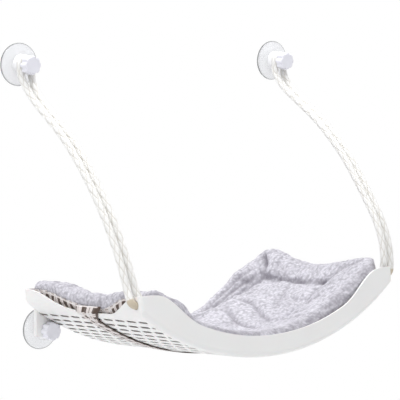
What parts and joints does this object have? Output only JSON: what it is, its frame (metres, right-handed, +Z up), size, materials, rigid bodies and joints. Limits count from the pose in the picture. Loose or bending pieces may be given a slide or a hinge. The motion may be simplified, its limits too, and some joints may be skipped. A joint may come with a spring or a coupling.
{
  "type": "window mounted cat perch",
  "caption": "Curved, slotted plastic tray with a plush cushion that hangs on a window: suction cups with turn knobs behind it and rope slings from its front corners carry it.",
  "frame": {"origin": "on the window pane, midway between the axes of the two lower suction cups", "axes": "+Y points from the room into the pane, +Z up, +X to the right of a person in the room who faces the window"},
  "size_m": [0.636, 0.3462, 0.5384],
  "materials": {
    "white_plastic": "smooth injection moulded, soft gloss",
    "plush": "short dense plush pile, pale lilac grey",
    "plaid_cloth": "woven plaid cotton in brown, cream and dark brown",
    "rope": "braided, soft white",
    "clear_vinyl": "soft translucent vinyl, milky",
    "stud_plastic": "smooth threaded plastic",
    "knob_plastic": "satin moulded, lobed grip"
  },
  "bodies": {
    "perch": {"tray": "white_plastic", "rope_left": "rope", "rope_right": "rope", "suction_cup_upper_left": "clear_vinyl", "suction_cup_upper_right": "clear_vinyl", "suction_cup_lower_left": "clear_vinyl", "suction_cup_lower_right": "clear_vinyl", "cup_cap_upper_left": "white_plastic", "cup_cap_upper_right": "white_plastic", "cup_cap_lower_left": "white_plastic", "cup_cap_lower_right": "white_plastic"},
    "cushion": {"cushion": "plush", "cushion_plaid_underside": "plaid_cloth"},
    "stud_upper_left": {"stud_upper_left": "stud_plastic"},
    "knob_upper_left": {"knob_upper_left": "knob_plastic"},
    "stud_upper_right": {"stud_upper_right": "stud_plastic"},
    "knob_upper_right": {"knob_upper_right": "knob_plastic"},
    "stud_lower_left": {"stud_lower_left": "stud_plastic"},
    "knob_lower_left": {"knob_lower_left": "knob_plastic"},
    "stud_lower_right": {"stud_lower_right": "stud_plastic"},
    "knob_lower_right": {"knob_lower_right": "knob_plastic"}
  },
  "joints": [
    {"name": "cushion_lift", "type": "slide", "parent": "perch", "child": "cushion", "axis": [0, 0.1002, 0.995], "range_m": [0, 0.03]},
    {"name": "knob_turn_upper_left", "type": "hinge", "parent": "perch", "child": "knob_upper_left", "pos_m": [-0.282, -0.03, 0.4526], "axis": [0, 1, 0], "range_deg": [-360, 720]},
    {"name": "stud_pull_upper_left", "type": "slide", "parent": "perch", "child": "stud_upper_left", "axis": [0, -1, 0], "range_m": [-0.00125, 0.0025], "deforming": ["suction_cup_upper_left"]},
    {"name": "knob_turn_upper_right", "type": "hinge", "parent": "perch", "child": "knob_upper_right", "pos_m": [0.282, -0.03, 0.4526], "axis": [0, 1, 0], "range_deg": [-360, 720]},
    {"name": "stud_pull_upper_right", "type": "slide", "parent": "perch", "child": "stud_upper_right", "axis": [0, -1, 0], "range_m": [-0.00125, 0.0025], "deforming": ["suction_cup_upper_right"]},
    {"name": "knob_turn_lower_left", "type": "hinge", "parent": "perch", "child": "knob_lower_left", "pos_m": [-0.237, -0.03, 0], "axis": [0, 1, 0], "range_deg": [-360, 720]},
    {"name": "stud_pull_lower_left", "type": "slide", "parent": "perch", "child": "stud_lower_left", "axis": [0, -1, 0], "range_m": [-0.00125, 0.0025], "deforming": ["suction_cup_lower_left"]},
    {"name": "knob_turn_lower_right", "type": "hinge", "parent": "perch", "child": "knob_lower_right", "pos_m": [0.237, -0.03, 0], "axis": [0, 1, 0], "range_deg": [-360, 720]},
    {"name": "stud_pull_lower_right", "type": "slide", "parent": "perch", "child": "stud_lower_right", "axis": [0, -1, 0], "range_m": [-0.00125, 0.0025], "deforming": ["suction_cup_lower_right"]}
  ],
  "couplings": [
    {"joint": "stud_pull_upper_left", "follows": "knob_turn_upper_left", "m_per_rad": 0.00019894},
    {"joint": "stud_pull_upper_right", "follows": "knob_turn_upper_right", "m_per_rad": 0.00019894},
    {"joint": "stud_pull_lower_left", "follows": "knob_turn_lower_left", "m_per_rad": 0.00019894},
    {"joint": "stud_pull_lower_right", "follows": "knob_turn_lower_right", "m_per_rad": 0.00019894}
  ]
}
